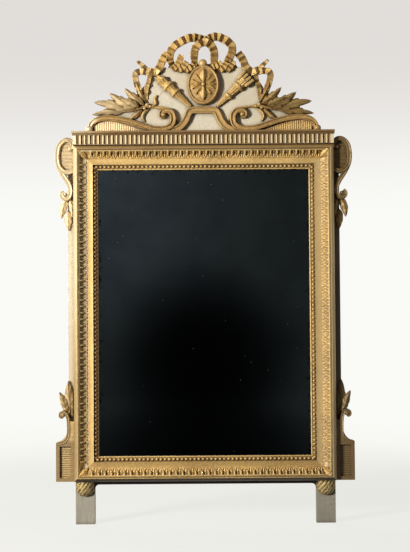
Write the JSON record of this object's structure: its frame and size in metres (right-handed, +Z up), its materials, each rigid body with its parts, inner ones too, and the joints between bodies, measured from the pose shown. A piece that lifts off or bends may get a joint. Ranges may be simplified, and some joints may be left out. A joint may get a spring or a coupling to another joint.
{
  "type": "pediment mirror",
  "caption": "Carved gilt wall mirror: mitred moulding with beads, fluted frieze, painted pediment with scrolls, medallion, torch, quiver and ribbon bow, eared sides, short feet.",
  "frame": {"origin": "middle of the object's width and depth, on the plane of the foot soles", "axes": "+Z up along the height, +X to the right seen from the front, +Y towards the wall behind"},
  "size_m": [0.718, 0.066, 1.1849],
  "materials": {
    "gilt_wood": "worn water gilding",
    "painted_wood": "old cream paint",
    "bare_wood": "bare, darkened",
    "dark_wood": "stained dark",
    "mirror": "old silvering",
    "iron": "forged, darkened"
  },
  "bodies": {
    "frame": {"backboard_lower": "bare_wood", "backboard_middle": "bare_wood", "backboard_nails": "iron", "backboard_upper": "bare_wood", "bead_slip_bottom": "gilt_wood", "bead_slip_left": "gilt_wood", "bead_slip_right": "gilt_wood", "bead_slip_top": "gilt_wood", "bottom_rail": "painted_wood", "bow_backing": "dark_wood", "cornice": "gilt_wood", "crest_batten_left": "bare_wood", "crest_batten_right": "bare_wood", "crest_screws": "iron", "ear_leaf_left": "gilt_wood", "ear_leaf_right": "gilt_wood", "ear_panel_left": "gilt_wood", "ear_panel_right": "gilt_wood", "ear_scroll_left": "gilt_wood", "ear_scroll_right": "gilt_wood", "foot_cap_left": "gilt_wood", "foot_cap_right": "gilt_wood", "frieze": "gilt_wood", "glazing_blocks": "bare_wood", "hanger_screws": "iron", "hanger_strap_left": "iron", "hanger_strap_right": "iron", "joint_pegs": "bare_wood", "laurel_left": "gilt_wood", "laurel_right": "gilt_wood", "medallion": "gilt_wood", "medallion_knob": "gilt_wood", "mirror_plate": "mirror", "moulding_bottom": "gilt_wood", "moulding_left": "gilt_wood", "moulding_right": "gilt_wood", "moulding_top": "gilt_wood", "pedestal_arch": "gilt_wood", "pediment_board": "painted_wood", "pediment_panel_left": "gilt_wood", "pediment_panel_right": "gilt_wood", "quiver": "gilt_wood", "ribbon_bow": "gilt_wood", "ribbon_tail_left": "gilt_wood", "ribbon_tail_right": "gilt_wood", "rosette": "gilt_wood", "scroll_left": "gilt_wood", "scroll_right": "gilt_wood", "shoulder_leaf_left": "gilt_wood", "shoulder_leaf_right": "gilt_wood", "shoulder_left": "gilt_wood", "shoulder_right": "gilt_wood", "stile_left": "painted_wood", "stile_right": "painted_wood", "tendril_left": "gilt_wood", "tendril_right": "gilt_wood", "top_rail": "bare_wood", "torch": "gilt_wood"},
    "ring_left": {"hanging_ring_left": "iron"},
    "ring_right": {"hanging_ring_right": "iron"}
  },
  "joints": [
    {"name": "ring_left_swing", "type": "hinge", "parent": "frame", "child": "ring_left", "pos_m": [-0.303, 0.0255, 0.82], "axis": [1, 0, 0], "range_deg": [0, 180]},
    {"name": "ring_right_swing", "type": "hinge", "parent": "frame", "child": "ring_right", "pos_m": [0.303, 0.0255, 0.82], "axis": [1, 0, 0], "range_deg": [0, 180]}
  ]
}
